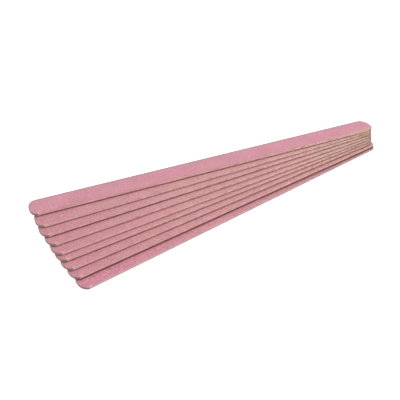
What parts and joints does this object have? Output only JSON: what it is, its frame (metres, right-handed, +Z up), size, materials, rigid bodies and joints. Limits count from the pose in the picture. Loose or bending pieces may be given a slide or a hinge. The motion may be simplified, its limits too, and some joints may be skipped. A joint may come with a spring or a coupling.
{
  "type": "emery board",
  "caption": "Set of loose emery boards, each a thin wood core faced with abrasive paper on both sides, fanned about the end where they are pinched.",
  "frame": {"origin": "centre of the bottom board's underside, on the surface that it lies on", "axes": "+X along the bottom board towards the pinched end, +Y across it towards the side that the upper boards spread to, +Z up through the stack"},
  "size_m": [0.1811, 0.0457, 0.0156],
  "materials": {
    "upper_abrasive": "matt, fine pink grit",
    "lower_abrasive": "matt, fine pink grit",
    "wood_core": "raw cut edge, light beige"
  },
  "bodies": {
    "board_1": {"board_1_lower_abrasive": "lower_abrasive", "board_1_wood_core": "wood_core", "board_1_upper_abrasive": "upper_abrasive"},
    "board_2": {"board_2_lower_abrasive": "lower_abrasive", "board_2_wood_core": "wood_core", "board_2_upper_abrasive": "upper_abrasive"},
    "board_3": {"board_3_lower_abrasive": "lower_abrasive", "board_3_wood_core": "wood_core", "board_3_upper_abrasive": "upper_abrasive"},
    "board_4": {"board_4_lower_abrasive": "lower_abrasive", "board_4_wood_core": "wood_core", "board_4_upper_abrasive": "upper_abrasive"},
    "board_5": {"board_5_lower_abrasive": "lower_abrasive", "board_5_wood_core": "wood_core", "board_5_upper_abrasive": "upper_abrasive"},
    "board_6": {"board_6_lower_abrasive": "lower_abrasive", "board_6_wood_core": "wood_core", "board_6_upper_abrasive": "upper_abrasive"},
    "board_7": {"board_7_lower_abrasive": "lower_abrasive", "board_7_wood_core": "wood_core", "board_7_upper_abrasive": "upper_abrasive"},
    "board_8": {"board_8_lower_abrasive": "lower_abrasive", "board_8_wood_core": "wood_core", "board_8_upper_abrasive": "upper_abrasive"},
    "board_9": {"board_9_lower_abrasive": "lower_abrasive", "board_9_wood_core": "wood_core", "board_9_upper_abrasive": "upper_abrasive"}
  },
  "joints": [
    {"name": "board_2_swivel", "type": "hinge", "parent": "board_1", "child": "board_2", "pos_m": [0.0801, 0.00076, 0.00199], "axis": [0, 0, 1], "range_deg": [-10.4, 1.6]},
    {"name": "board_3_swivel", "type": "hinge", "parent": "board_2", "child": "board_3", "pos_m": [0.0801, 0.00076, 0.00383], "axis": [0, 0, 1], "range_deg": [-10.9, 1.1]},
    {"name": "board_4_swivel", "type": "hinge", "parent": "board_3", "child": "board_4", "pos_m": [0.0801, 0.00076, 0.00564], "axis": [0, 0, 1], "range_deg": [-10.7, 1.3]},
    {"name": "board_5_swivel", "type": "hinge", "parent": "board_4", "child": "board_5", "pos_m": [0.0801, 0.00076, 0.00733], "axis": [0, 0, 1], "range_deg": [-11.05, 0.95]},
    {"name": "board_6_swivel", "type": "hinge", "parent": "board_5", "child": "board_6", "pos_m": [0.0801, 0.00076, 0.00902], "axis": [0, 0, 1], "range_deg": [-10.5, 1.5]},
    {"name": "board_7_swivel", "type": "hinge", "parent": "board_6", "child": "board_7", "pos_m": [0.0801, 0.00076, 0.01074], "axis": [0, 0, 1], "range_deg": [-10.55, 1.45]},
    {"name": "board_8_swivel", "type": "hinge", "parent": "board_7", "child": "board_8", "pos_m": [0.0801, 0.00076, 0.01237], "axis": [0, 0, 1], "range_deg": [-10.3, 1.7]},
    {"name": "board_9_swivel", "type": "hinge", "parent": "board_8", "child": "board_9", "pos_m": [0.0801, 0.00076, 0.01412], "axis": [0, 0, 1], "range_deg": [-9.65, 2.35]}
  ]
}
